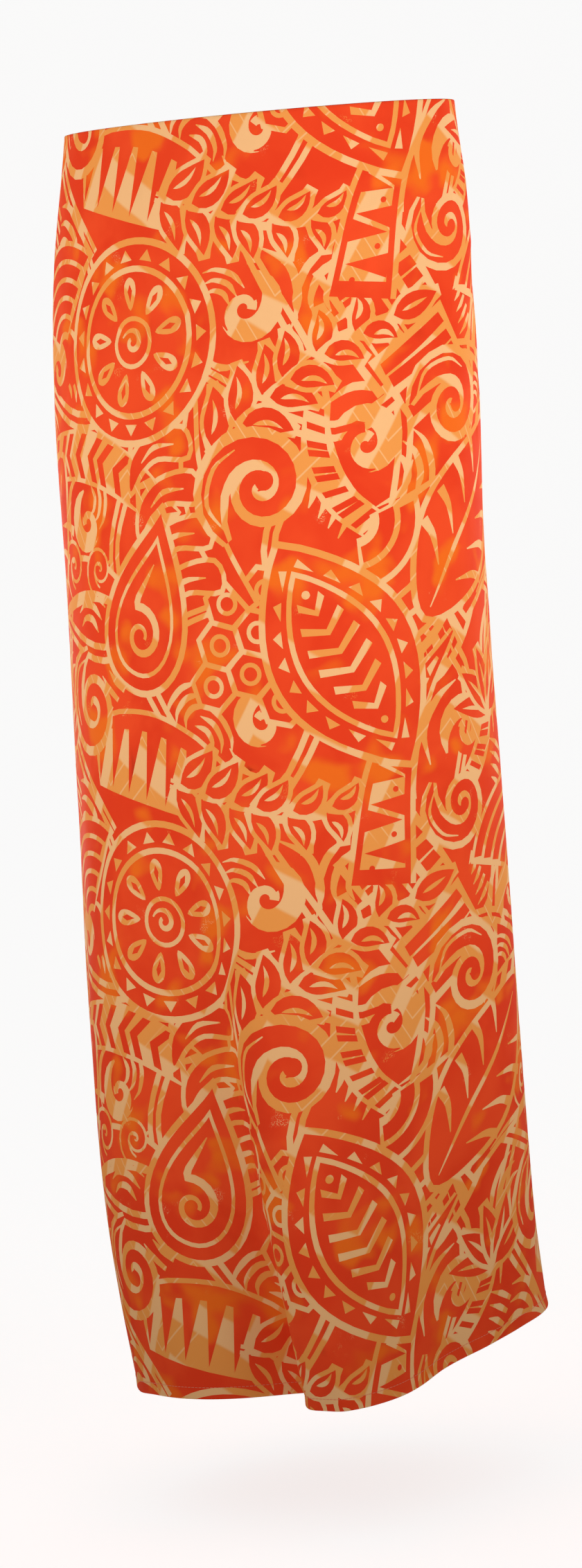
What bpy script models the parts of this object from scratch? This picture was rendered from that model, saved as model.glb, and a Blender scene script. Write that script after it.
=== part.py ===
"""Lavalava: one rectangle of cloth wound round the body and tucked at the waist.

Metres, +Z up. The wearer faces -Y, so +X is the wearer's left. The origin is at the waist, where the
wearer holds the cloth. A bearing is an angle in degrees seen from above: 0 at centre front, 90 at the
wearer's left side, 180 at the back and -90 at the right side.
"""
import math
from collections import namedtuple

import bmesh
import bpy
import numpy as np

NAME = "lavalava"

# Heights of the two edges, from the origin
WAIST_EDGE = 0.020
HEM_LEVEL = -0.910

# The cloth: its whole width, and how much of it runs from centre front, round the wearer's left side,
# to the free outer edge at the back
CLOTH_WIDTH = 1.320
FRONT_TO_OUTER_EDGE = 0.455

# Walls and the gaps between them
WALL = 0.0012
LAYER_GAP = 0.0015
SEAM_GAP = 0.0003

# The turned-up hem, on the inside
HEM_DEPTH = 0.0095
HEM_WALL = 0.0010

# Where the outer turn slips in under its own free edge
DIVE_LENGTH = 0.025
DIVE_CLEARANCE = 0.012
TAIL_UNDER_EDGE = 0.008
HEM_ROOM_HEIGHT = 0.080

# The hem rises towards the tuck, and the waist edge dips where the cloth is drawn to the back
HEM_RISE = 0.026
HEM_RISE_START = 20.0
HEM_RISE_FULL = 130.0
HEM_FALL_START = 165.0
HEM_FALL_END = 240.0
WAIST_DIP = 0.003
WAIST_DIP_BEARING = 108.0
WAIST_DIP_REACH = 5.0

# The tucked corner
TUCK_START = 0.004
TUCK_WIDTH = 0.088
TUCK_DEPTH = 0.075
TUCK_LEAST_DEPTH = 0.018
TUCK_WALL = 0.0010
TUCK_RISE = 0.0018
TUCK_RIM_GAP = 0.0004
TUCK_INSET = 0.0052
TUCK_RIPPLE = 0.0016
TUCK_RIPPLES = 2.5

# How finely the walls are divided: the columns run along the front crease and close up beside it
COLUMNS_BEFORE_CREASE = 40
COLUMNS_AFTER_CREASE = 48
CREASE_BESIDE_HOLLOW = 3.5
CREASE_CROWDING = 1.8
CREASE_CROWDING_REACH = 0.050
UNDER_COLUMNS = 36
ROWS = 21
TUCK_COLUMNS = 14
TUCK_LEG_ROWS = 7
RING_STEPS = 720

Section = namedtuple("Section", "level centre_x centre_y half_width half_depth turn seat")
SECTIONS = (
    Section(0.02, 0.000, -0.003, 0.161, 0.101, -4, 0.000),
    Section(-0.08, -0.006, -0.004, 0.170, 0.112, -4, 0.007),
    Section(-0.18, -0.011, -0.005, 0.175, 0.122, -7, 0.013),
    Section(-0.32, -0.015, -0.005, 0.174, 0.128, -10, 0.009),
    Section(-0.48, -0.017, -0.002, 0.176, 0.134, -7, 0.002),
    Section(-0.64, -0.017, -0.002, 0.178, 0.140, 1, 0.000),
    Section(-0.78, -0.013, -0.004, 0.175, 0.145, 10, 0.000),
    Section(-0.91, -0.003, -0.007, 0.168, 0.148, 18, 0.000),
)
SEAT_REACH = 48.0

# A fold starts at a height, grows towards the hem and drifts from one bearing to another. Its reach is
# an angle to either side. At its start its left side is softer than at the hem by the factor soft_start.
Fold = namedtuple(
    "Fold",
    "name start_level start_bearing hem_bearing hem_depth reach_right reach_left soft_start growth",
)
FOLDS = (
    Fold("front hollow", -0.36, -15, 10, -0.058, 33, 4.4, 4.5, 1.5),
    Fold("front ridge", -0.45, 4, 29, 0.014, 7, 25, 1.0, 1.5),
    Fold("left flat", -0.35, 79, 85, -0.052, 43, 38, 1.0, 1.2),
    Fold("right side hollow", -0.45, -60, -60, -0.008, 25, 25, 1.0, 1.0),
    Fold("back ridge by the edge", -0.30, 150, 146, 0.011, 11, 16, 1.0, 1.1),
    Fold("back hollow", -0.34, 178, 174, -0.013, 15, 12, 1.0, 1.1),
    Fold("back ridge", -0.42, -158, -152, 0.010, 12, 15, 1.0, 1.2),
    Fold("right back hollow", -0.38, -128, -120, -0.010, 15, 12, 1.0, 1.2),
)

Finish = namedtuple("Finish", "color roughness metallic")
PRINT_FACE = Finish((0.80, 0.075, 0.022, 1.0), 0.72, 0.0)
PRINT_BACK = Finish((0.82, 0.22, 0.13, 1.0), 0.78, 0.0)


def clear_scene():
    for old in list(bpy.data.objects):
        bpy.data.objects.remove(old)


def make_material(name, finish):
    material = bpy.data.materials.new(name)
    material.use_nodes = True
    shader = material.node_tree.nodes["Principled BSDF"]
    shader.inputs["Base Color"].default_value = finish.color
    shader.inputs["Roughness"].default_value = finish.roughness
    shader.inputs["Metallic"].default_value = finish.metallic
    material.diffuse_color = finish.color
    return material


def ease(value):
    """0 to 1 with a soft start and a soft end."""
    value = np.clip(value, 0.0, 1.0)
    return value * value * (3.0 - 2.0 * value)


def section_at(level):
    """The section at a height, on a smooth curve through the table's rows."""
    levels = np.array([-row.level for row in SECTIONS])
    rows = np.array([row[1:] for row in SECTIONS])
    slopes = np.gradient(rows, levels, axis=0)
    place = -level
    low = int(np.clip(np.searchsorted(levels, place) - 1, 0, len(levels) - 2))
    span = levels[low + 1] - levels[low]
    part = (place - levels[low]) / span
    rise = part * part * (3.0 - 2.0 * part)
    leave = part * (1.0 - part) ** 2 * span
    arrive = -part * part * (1.0 - part) * span
    values = rows[low] * (1.0 - rise) + rows[low + 1] * rise + slopes[low] * leave + slopes[low + 1] * arrive
    return Section(level, *values)


def turn_between(bearings, centre):
    """The signed angle from a centre to each bearing, within half a turn."""
    return (bearings - centre + 180.0) % 360.0 - 180.0


def fold_height(fold, bearings, level):
    """How far a fold stands out from the section, or in where it is a hollow."""
    part = np.clip((fold.start_level - level) / (fold.start_level - HEM_LEVEL), 0.0, 1.0)
    centre = fold.start_bearing + (fold.hem_bearing - fold.start_bearing) * part
    away = turn_between(bearings, centre)
    softness = 1.0 + (fold.soft_start - 1.0) * (1.0 - part) ** 1.5
    reach = np.where(away < 0.0, fold.reach_right, fold.reach_left * softness)
    return fold.hem_depth * part ** fold.growth * np.exp(-((away / reach) ** 2))


def hem_height(bearings):
    turned = np.where(bearings < HEM_FALL_END - 360.0, bearings + 360.0, bearings)
    rise = ease((turned - HEM_RISE_START) / (HEM_RISE_FULL - HEM_RISE_START))
    fall = ease((turned - HEM_FALL_START) / (HEM_FALL_END - HEM_FALL_START))
    return HEM_LEVEL + HEM_RISE * rise * (1.0 - fall)


def waist_height(bearings):
    away = turn_between(bearings, WAIST_DIP_BEARING)
    return WAIST_EDGE - WAIST_DIP * np.exp(-((away / WAIST_DIP_REACH) ** 2))


class Ring:
    """The outer turn's outline at one share of the way from the waist edge down to the hem."""

    def __init__(self, share):
        self.share = share
        self.level = WAIST_EDGE + (HEM_LEVEL - WAIST_EDGE) * share
        bearings = np.linspace(0.0, 360.0, RING_STEPS + 1)
        points = self.outline(bearings)
        steps = np.linalg.norm(np.diff(points, axis=0), axis=1)
        self.bearings = bearings
        self.lengths = np.concatenate([[0.0], np.cumsum(steps)])
        self.girth = self.lengths[-1]

    def outline(self, bearings):
        section = section_at(self.level)
        along = np.radians(bearings - 90.0 - section.turn)
        width = section.half_width
        depth = section.half_depth
        reach = width * depth / np.hypot(depth * np.cos(along), width * np.sin(along))
        reach = reach + section.seat * np.exp(-((turn_between(bearings, 180.0) / SEAT_REACH) ** 2))
        for fold in FOLDS:
            reach = reach + fold_height(fold, bearings, self.level)
        angle = np.radians(bearings)
        x = section.centre_x + reach * np.sin(angle)
        y = section.centre_y - reach * np.cos(angle)
        return np.stack([x, y], axis=-1)

    def bearing_at(self, from_edge):
        """The bearing a length along the cloth from its free outer edge, round by the front."""
        place = (FRONT_TO_OUTER_EDGE - from_edge) % self.girth
        return np.interp(place, self.lengths, self.bearings)

    def place_of(self, bearing):
        """How far a bearing at the front lies from the cloth's free outer edge."""
        past_front = bearing % 360.0
        length = np.interp(past_front, self.bearings, self.lengths)
        if past_front > 180.0:
            length -= self.girth
        return FRONT_TO_OUTER_EDGE - length

    def points(self, bearings, inset):
        """Points on the outline, moved in across the cloth by inset."""
        small = 0.25
        ahead = self.outline(bearings + small) - self.outline(bearings - small)
        ahead /= np.linalg.norm(ahead, axis=-1, keepdims=True)
        inward = np.stack([-ahead[:, 1], ahead[:, 0]], axis=-1)
        flat = self.outline(bearings) + inward * np.reshape(inset, (-1, 1))
        top = waist_height(bearings)
        height = top + (hem_height(bearings) - top) * self.share
        return np.column_stack([flat, height])


def lap_inset(level):
    """How far in the second layer lies: more near the hem, where the turned-up hem lies between."""
    near_hem = ease((HEM_LEVEL + HEM_ROOM_HEIGHT - level) / HEM_ROOM_HEIGHT)
    return WALL + LAYER_GAP + (HEM_WALL + SEAM_GAP) * near_hem


def dive(from_edge, girth, inset):
    """The outer turn's inset: none, until it slips in under its own free edge."""
    start = girth - DIVE_CLEARANCE - DIVE_LENGTH
    return inset * ease((from_edge - start) / DIVE_LENGTH)


def crowded(start, end, columns, crease):
    """Places from start to end, closer together near the crease."""
    fine = np.linspace(start, end, RING_STEPS)
    weight = 1.0 + CREASE_CROWDING * np.exp(-(((fine - crease) / CREASE_CROWDING_REACH) ** 2))
    share = np.concatenate([[0.0], np.cumsum((weight[1:] + weight[:-1]) / 2.0)])
    return np.interp(np.linspace(0.0, share[-1], columns + 1), share, fine)


def crease_place(ring):
    """Where the front crease's steep side lies, from the cloth's free outer edge."""
    hollow = FOLDS[0]
    part = np.clip((hollow.start_level - ring.level) / (hollow.start_level - HEM_LEVEL), 0.0, 1.0)
    bearing = hollow.start_bearing + (hollow.hem_bearing - hollow.start_bearing) * part
    return ring.place_of(bearing + CREASE_BESIDE_HOLLOW)


def outer_turn_grid(rings):
    rows = []
    for ring in rings:
        crease = crease_place(ring)
        end = ring.girth + TAIL_UNDER_EDGE
        before = crowded(0.0, crease, COLUMNS_BEFORE_CREASE, crease)
        after = crowded(crease, end, COLUMNS_AFTER_CREASE, crease)
        places = np.concatenate([before, after[1:]])
        inset = dive(places, ring.girth, lap_inset(ring.level))
        rows.append(ring.points(ring.bearing_at(places), inset))
    return np.array(rows)


def under_lap_grid(rings):
    rows = []
    for ring in rings:
        start = ring.girth + TAIL_UNDER_EDGE + SEAM_GAP
        places = np.linspace(start, CLOTH_WIDTH, UNDER_COLUMNS + 1)
        inset = np.full(places.shape, lap_inset(ring.level))
        rows.append(ring.points(ring.bearing_at(places), inset))
    return np.array(rows)


def hem_grid(grid, sheet):
    """The turned-up hem, from the last row of the wall's own points, moved in."""
    outward = np.array([vertex.normal for vertex in sheet.data.vertices]).reshape(grid.shape)
    return grid[-2:] - outward[-2:] * (WALL + SEAM_GAP)


def tuck_grid():
    """The corner of the outer edge, folded over the waist edge and hanging inside it."""
    top_ring = Ring(0.0)
    places = np.linspace(TUCK_START, TUCK_START + TUCK_WIDTH, TUCK_COLUMNS + 1)
    bearings = top_ring.bearing_at(places)
    across = (places - TUCK_START) / TUCK_WIDTH
    leg = TUCK_DEPTH + (TUCK_LEAST_DEPTH - TUCK_DEPTH) * ease(across)
    arch = (
        (0.00, TUCK_RIM_GAP),
        (0.08, TUCK_RISE * 0.75),
        (0.28, TUCK_RISE),
        (0.72, TUCK_RISE),
        (0.92, TUCK_RISE * 0.70),
        (1.00, 0.0),
    )
    rows = []
    for part, rise in arch:
        row = top_ring.points(bearings, np.full(bearings.shape, TUCK_INSET * part))
        row[:, 2] += rise
        rows.append(row)
    height = WAIST_EDGE - HEM_LEVEL
    for step in range(1, TUCK_LEG_ROWS + 1):
        part = step / TUCK_LEG_ROWS
        ripple = TUCK_RIPPLE * part * (1.0 - np.cos(2.0 * math.pi * TUCK_RIPPLES * across))
        drop = leg * part
        row = []
        for place in range(len(bearings)):
            ring = Ring(drop[place] / height)
            here = bearings[place:place + 1]
            row.append(ring.points(here, np.array([TUCK_INSET + ripple[place]]))[0])
        rows.append(np.array(row))
    return np.array(rows)


def add_sheet(name, grid, wall, finish, collection):
    """One stretch of cloth: an open sheet through the grid's points, thickened towards the wearer."""
    mesh = bpy.data.meshes.new(name)
    shape = bmesh.new()
    rows, columns = grid.shape[:2]
    points = [[shape.verts.new(grid[row, column]) for column in range(columns)] for row in range(rows)]
    for row in range(rows - 1):
        for column in range(columns - 1):
            upper = points[row]
            lower = points[row + 1]
            shape.faces.new((upper[column], upper[column + 1], lower[column + 1], lower[column]))
    shape.normal_update()
    shape.to_mesh(mesh)
    shape.free()
    mesh.shade_smooth()
    mesh.materials.append(make_material(name, finish))
    sheet = bpy.data.objects.new(name, mesh)
    collection.objects.link(sheet)
    thicken = sheet.modifiers.new("wall", "SOLIDIFY")
    thicken.thickness = wall
    thicken.offset = -1.0
    thicken.use_rim = True
    return sheet


def build():
    clear_scene()
    collection = bpy.data.collections.new(NAME)
    bpy.context.scene.collection.children.link(collection)
    hem_top = 1.0 - HEM_DEPTH / (WAIST_EDGE - HEM_LEVEL)
    rings = [Ring(hem_top * row / ROWS) for row in range(ROWS + 1)]
    rings.append(Ring(1.0))
    outer = outer_turn_grid(rings)
    under = under_lap_grid(rings)
    outer_wrap = add_sheet("outer_wrap", outer, WALL, PRINT_FACE, collection)
    under_lap = add_sheet("under_lap", under, WALL, PRINT_BACK, collection)
    add_sheet("outer_hem", hem_grid(outer, outer_wrap), HEM_WALL, PRINT_FACE, collection)
    add_sheet("under_hem", hem_grid(under, under_lap), HEM_WALL, PRINT_BACK, collection)
    add_sheet("tucked_corner", tuck_grid(), TUCK_WALL, PRINT_BACK, collection)


build()
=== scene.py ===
"""Lavalava: the looks of one rectangle of printed cloth, wound round the body and tucked at the waist.

Metres, +Z up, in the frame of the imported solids. The wearer faces -Y. A place on the flat cloth is given
by how far it lies from the free outer edge, which is at the back, and by its height above the hem.
"""

import math
from collections import namedtuple

import bmesh
import bpy
import numpy as np
from bpy.props import FloatProperty, FloatVectorProperty, PointerProperty
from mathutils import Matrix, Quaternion, Vector
from mathutils.geometry import delaunay_2d_cdt


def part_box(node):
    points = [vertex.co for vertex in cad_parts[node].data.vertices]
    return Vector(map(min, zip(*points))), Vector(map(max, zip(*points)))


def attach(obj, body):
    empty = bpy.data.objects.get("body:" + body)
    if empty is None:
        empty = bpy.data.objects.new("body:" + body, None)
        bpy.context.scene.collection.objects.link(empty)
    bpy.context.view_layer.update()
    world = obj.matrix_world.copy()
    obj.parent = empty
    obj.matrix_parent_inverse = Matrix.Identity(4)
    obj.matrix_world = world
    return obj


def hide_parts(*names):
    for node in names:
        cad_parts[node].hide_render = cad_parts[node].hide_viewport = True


bl_info = {
    "name": "Printed lavalava",
    "version": (1, 0, 0),
    "blender": (4, 5, 0),
    "location": "3D View > Sidebar > Lavalava",
    "description": "Makes a wound lavalava with its print, hem, stitches and tucked corner",
    "category": "Object",
}

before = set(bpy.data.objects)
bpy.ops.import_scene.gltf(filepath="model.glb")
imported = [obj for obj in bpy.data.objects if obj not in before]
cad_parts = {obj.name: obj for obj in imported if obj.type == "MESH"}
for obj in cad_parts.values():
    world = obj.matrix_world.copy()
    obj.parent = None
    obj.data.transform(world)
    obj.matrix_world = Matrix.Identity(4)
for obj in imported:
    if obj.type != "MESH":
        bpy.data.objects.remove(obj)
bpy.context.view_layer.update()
BODY = "root"
MM = 0.001

# Heights of the two edges, and the cloth's cut
WAIST_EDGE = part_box("outer_wrap")[1].z
HEM_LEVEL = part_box("outer_wrap")[0].z
WORN_LENGTH = WAIST_EDGE - HEM_LEVEL
CLOTH_WIDTH = 1.320
FRONT_TO_OUTER_EDGE = 0.455
HEM_TURN = 0.0095
WAIST_TURN = 0.035
PIECE_SPLIT = 0.995

# The room that each layer takes, as in the solids
WALL = 0.0012
LAYER_GAP = 0.0015
HEM_ROOM = 0.0013
HEM_ROOM_HEIGHT = 0.080
DIVE_LENGTH = 0.025
DIVE_CLEARANCE = 0.012

# The free outer edge rests on the layer beneath it
EDGE_SETTLE = 0.0011
EDGE_SETTLE_REACH = 0.030

# The radius at which the cloth bends round a folded edge
HEM_FOLD_RADIUS = 0.00055
WAIST_FOLD_RADIUS = 0.00065

# The hem rises towards the wearer's left and hangs lowest at a corner on the right. Bearings are degrees
# from the front, counted towards the wearer's left.
HEM_RISE = 0.026
HEM_RISE_START = 20.0
HEM_RISE_FULL = 130.0
HEM_FALL_START = 165.0
HEM_FALL_END = 240.0
HEM_DROOP = 0.008
HEM_DROOP_BEARING = -60.0
HEM_DROOP_REACH = 15.0

# A small dip of the waist edge
WAIST_DIP = 0.003
WAIST_DIP_BEARING = 108.0
WAIST_DIP_REACH = 5.0

# The tucked corner, folded over the waist edge
TUCK_START = 0.004
TUCK_WIDTH = 0.088
TUCK_DEPTH = 0.075
TUCK_LEAST_DEPTH = 0.018
TUCK_ARCH = 0.0075
TUCK_RISE = 0.0018
TUCK_RIM_GAP = 0.0004
TUCK_INSET = 0.0052
TUCK_RIPPLE = 0.0016
TUCK_RIPPLES = 2.5
TUCK_CUTS = 10

RING_STEPS = 720
TABLE_LEVELS = 240
TABLE_STEP = 0.001
BEARING_STEP = 0.25

# The sections of the wound cloth, from the waist edge down
Section = namedtuple("Section", "level centre_x centre_y half_width half_depth turn seat")
SECTIONS = (
    Section(0.02, 0.000, -0.003, 0.161, 0.101, -4, 0.000),
    Section(-0.08, -0.006, -0.004, 0.170, 0.112, -4, 0.007),
    Section(-0.18, -0.011, -0.005, 0.175, 0.122, -7, 0.013),
    Section(-0.32, -0.015, -0.005, 0.174, 0.128, -10, 0.009),
    Section(-0.48, -0.017, -0.002, 0.176, 0.134, -7, 0.002),
    Section(-0.64, -0.017, -0.002, 0.178, 0.140, 1, 0.000),
    Section(-0.78, -0.013, -0.004, 0.175, 0.145, 10, 0.000),
    Section(-0.91, -0.003, -0.007, 0.168, 0.148, 18, 0.000),
)
SEAT_REACH = 48.0

# The wide folds grow from a height down to the hem, inwards where their depth is negative
Fold = namedtuple(
    "Fold",
    "name start_level start_bearing hem_bearing hem_depth reach_right reach_left soft_start growth",
)
FOLDS = (
    Fold("front hollow", -0.36, -12, 13.5, -0.058, 36, 4.2, 4.5, 1.5),
    Fold("front ridge", -0.45, 7, 32.5, 0.014, 7, 22, 1.0, 1.5),
    Fold("left flat", -0.35, 79, 85, -0.052, 43, 38, 1.0, 1.2),
    Fold("right side hollow", -0.45, -60, -60, -0.008, 25, 25, 1.0, 1.0),
    Fold("flat before the corner", -0.58, -38, -39, -0.003, 11, 11, 1.0, 1.2),
    Fold("flat behind the corner", -0.58, -84, -85, -0.005, 12, 12, 1.0, 1.2),
    Fold("back ridge by the edge", -0.30, 150, 146, 0.011, 11, 16, 1.0, 1.1),
    Fold("back hollow", -0.34, 178, 174, -0.013, 15, 12, 1.0, 1.1),
    Fold("back ridge", -0.42, -158, -152, 0.010, 12, 15, 1.0, 1.2),
    Fold("right back hollow", -0.38, -128, -120, -0.010, 15, 12, 1.0, 1.2),
)

# Creases lie on the cloth from a first place and height to a last one. Their relief is in millimetres,
# outwards where it is positive, and their reach is half their width.
Crease = namedtuple("Crease", "name place height last_place last_height relief reach")
CREASES = (
    Crease("drag from the tuck, upper", 0.060, 0.915, 0.235, 0.800, 1.5, 0.011),
    Crease("drag from the tuck, middle", 0.045, 0.895, 0.200, 0.690, -1.7, 0.014),
    Crease("drag from the tuck, lower", 0.030, 0.870, 0.120, 0.610, 1.6, 0.016),
    Crease("gather at the tuck", 0.075, 0.930, 0.120, 0.840, -1.6, 0.008),
    Crease("left hip pull", 0.150, 0.920, 0.205, 0.700, -1.3, 0.013),
    Crease("left hip ridge", 0.190, 0.925, 0.225, 0.740, 1.4, 0.012),
    Crease("left front ripple", 0.268, 0.900, 0.262, 0.730, -0.9, 0.016),
    Crease("belly slack", 0.400, 0.800, 0.560, 0.770, -1.2, 0.022),
    Crease("right hip pull", 0.640, 0.910, 0.610, 0.660, 1.3, 0.014),
    Crease("right hip hollow", 0.680, 0.900, 0.655, 0.610, -1.6, 0.015),
    Crease("right back pull", 0.745, 0.915, 0.705, 0.640, 1.5, 0.015),
    Crease("back drag, upper", 0.800, 0.880, 0.905, 0.640, -1.8, 0.016),
    Crease("left thigh hollow", 0.215, 0.560, 0.235, 0.180, -1.8, 0.020),
    Crease("left thigh ridge", 0.178, 0.520, 0.170, 0.090, 2.0, 0.017),
    Crease("front left hollow", 0.330, 0.470, 0.335, 0.110, -1.4, 0.022),
    Crease("front right ridge", 0.530, 0.520, 0.560, 0.050, 1.6, 0.021),
    Crease("right thigh hollow", 0.610, 0.500, 0.640, 0.060, -2.0, 0.019),
    Crease("right shin ridge", 0.690, 0.430, 0.705, 0.020, 2.2, 0.018),
    Crease("back right hollow", 0.770, 0.520, 0.790, 0.040, -2.2, 0.020),
    Crease("back right ridge", 0.850, 0.560, 0.845, 0.060, 1.8, 0.017),
    Crease("back hollow", 0.915, 0.480, 0.925, 0.080, -1.8, 0.018),
    Crease("back left ridge", 0.075, 0.540, 0.070, 0.050, 1.8, 0.019),
)

# Below its stitches the turned-up hem leans outwards, most at the wearer's left
HEM_LEAN_HEIGHT = 0.0090
HEM_LEAN = 2.4
HEM_LEAN_LEAST = 0.35
HEM_LEAN_PLACE = 0.270
HEM_LEAN_REACH = 0.130
HEM_LEAN_CUTS = (HEM_LEAN_HEIGHT, HEM_LEAN_HEIGHT * 1.2)

# The hem's flutter: waves along the edge that die out above it
HEM_WAVE_HEIGHT = 0.060
HemWave = namedtuple("HemWave", "place reach relief")
HEM_WAVES = (
    HemWave(0.100, 0.020, 1.8),
    HemWave(0.150, 0.022, -2.2),
    HemWave(0.205, 0.020, 2.4),
    HemWave(0.250, 0.018, -1.6),
    HemWave(0.300, 0.024, 1.8),
    HemWave(0.372, 0.020, -1.6),
    HemWave(0.545, 0.022, 1.5),
    HemWave(0.600, 0.020, -1.8),
    HemWave(0.665, 0.024, 1.8),
    HemWave(0.735, 0.020, -2.0),
    HemWave(0.800, 0.022, 2.0),
    HemWave(0.880, 0.024, -1.8),
    HemWave(0.950, 0.020, 1.6),
)


# The wound surface


def ease(value):
    """0 to 1 with a soft start and a soft end."""
    value = np.clip(value, 0.0, 1.0)
    return value * value * (3.0 - 2.0 * value)


def section_at(level):
    """The section at a height, on a smooth curve through the table's rows."""
    levels = np.array([-row.level for row in SECTIONS])
    rows = np.array([row[1:] for row in SECTIONS])
    slopes = np.gradient(rows, levels, axis=0)
    place = -level
    low = int(np.clip(np.searchsorted(levels, place) - 1, 0, len(levels) - 2))
    span = levels[low + 1] - levels[low]
    part = (place - levels[low]) / span
    rise = part * part * (3.0 - 2.0 * part)
    leave = part * (1.0 - part) ** 2 * span
    arrive = -part * part * (1.0 - part) * span
    values = rows[low] * (1.0 - rise) + rows[low + 1] * rise + slopes[low] * leave + slopes[low + 1] * arrive
    return Section(level, *values)


def turn_between(bearings, centre):
    """The signed angle from a centre to each bearing, within half a turn."""
    return (bearings - centre + 180.0) % 360.0 - 180.0


def fold_height(fold, bearings, level):
    """How far a fold stands out from the section, or in where it is a hollow."""
    part = np.clip((fold.start_level - level) / (fold.start_level - HEM_LEVEL), 0.0, 1.0)
    centre = fold.start_bearing + (fold.hem_bearing - fold.start_bearing) * part
    away = turn_between(bearings, centre)
    softness = 1.0 + (fold.soft_start - 1.0) * (1.0 - part) ** 1.5
    reach = np.where(away < 0.0, fold.reach_right, fold.reach_left * softness)
    return fold.hem_depth * part ** fold.growth * np.exp(-((away / reach) ** 2))


def hem_height(bearings):
    turned = np.where(bearings < HEM_FALL_END - 360.0, bearings + 360.0, bearings)
    rise = ease((turned - HEM_RISE_START) / (HEM_RISE_FULL - HEM_RISE_START))
    fall = ease((turned - HEM_FALL_START) / (HEM_FALL_END - HEM_FALL_START))
    away = turn_between(bearings, HEM_DROOP_BEARING)
    return HEM_LEVEL + HEM_RISE * rise * (1.0 - fall) - HEM_DROOP * np.exp(-((away / HEM_DROOP_REACH) ** 2))


def waist_height(bearings):
    away = turn_between(bearings, WAIST_DIP_BEARING)
    return WAIST_EDGE - WAIST_DIP * np.exp(-((away / WAIST_DIP_REACH) ** 2))


class Ring:
    """The outer turn's outline at one share of the way from the waist edge down to the hem."""

    def __init__(self, share):
        self.share = share
        self.level = WAIST_EDGE - WORN_LENGTH * share
        bearings = np.linspace(0.0, 360.0, RING_STEPS + 1)
        steps = np.linalg.norm(np.diff(self.outline(bearings), axis=0), axis=1)
        self.bearings = bearings
        self.lengths = np.concatenate([[0.0], np.cumsum(steps)])
        self.girth = self.lengths[-1]

    def outline(self, bearings):
        section = section_at(self.level)
        along = np.radians(bearings - 90.0 - section.turn)
        width = section.half_width
        depth = section.half_depth
        reach = width * depth / np.hypot(depth * np.cos(along), width * np.sin(along))
        reach = reach + section.seat * np.exp(-((turn_between(bearings, 180.0) / SEAT_REACH) ** 2))
        for fold in FOLDS:
            reach = reach + fold_height(fold, bearings, self.level)
        angle = np.radians(bearings)
        x = section.centre_x + reach * np.sin(angle)
        y = section.centre_y - reach * np.cos(angle)
        return np.stack([x, y], axis=-1)

    def layer_inset(self, places):
        """How far in each place lies: none, until the cloth slips in under its own free edge."""
        near_hem = ease((HEM_LEVEL + HEM_ROOM_HEIGHT - self.level) / HEM_ROOM_HEIGHT)
        room = WALL + LAYER_GAP + HEM_ROOM * near_hem
        start = self.girth - DIVE_CLEARANCE - DIVE_LENGTH
        return room * ease((places - start) / DIVE_LENGTH)

    def points(self, places):
        """The cloth's outer face at places along it, from the free outer edge round by the front."""
        around = (FRONT_TO_OUTER_EDGE - places) % self.girth
        bearings = np.interp(around, self.lengths, self.bearings)
        ahead = self.outline(bearings + BEARING_STEP) - self.outline(bearings - BEARING_STEP)
        ahead /= np.linalg.norm(ahead, axis=-1, keepdims=True)
        inward = np.stack([-ahead[:, 1], ahead[:, 0]], axis=-1)
        settle = EDGE_SETTLE * ease(1.0 - places / EDGE_SETTLE_REACH)
        flat = self.outline(bearings) + inward * (self.layer_inset(places) + settle)[:, None]
        top = waist_height(bearings)
        height = top + (hem_height(bearings) - top) * self.share
        return np.column_stack([flat, height])


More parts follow.
